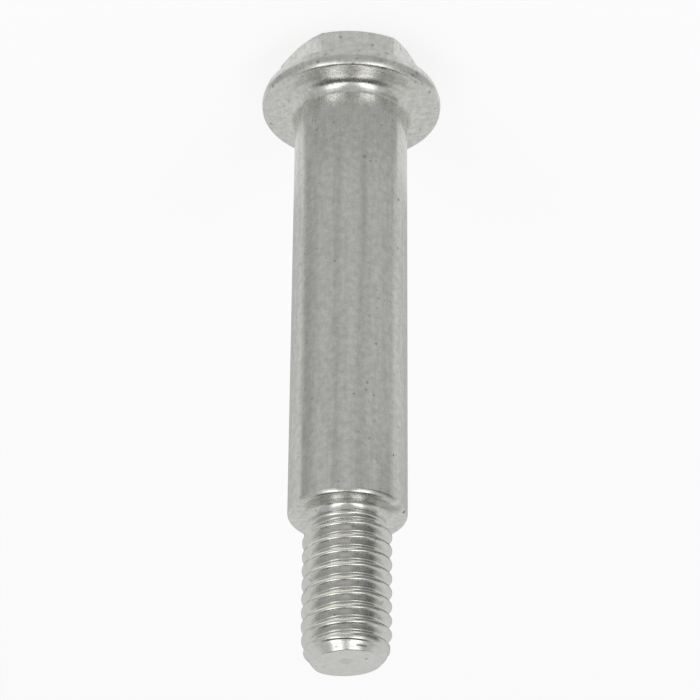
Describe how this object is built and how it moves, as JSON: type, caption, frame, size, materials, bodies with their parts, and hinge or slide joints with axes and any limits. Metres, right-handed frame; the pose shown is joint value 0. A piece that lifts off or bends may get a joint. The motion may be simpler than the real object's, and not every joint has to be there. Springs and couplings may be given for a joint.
{
  "type": "shoulder bolt",
  "caption": "Flanged hex head bolt with a long plain cylindrical shoulder that steps down to a shorter threaded stud.",
  "frame": {"origin": "centre of the bearing face, the flat underside of the flange", "axes": "+Z along the shoulder from the bearing face to the threaded tip, up when the bolt stands on its head; two of the hex flats are square to Y"},
  "size_m": [0.0202, 0.0202, 0.0741],
  "materials": {
    "plated_steel": "satin zinc plate"
  },
  "bodies": {
    "root": {"shoulder_bolt": "plated_steel"}
  },
  "joints": []
}
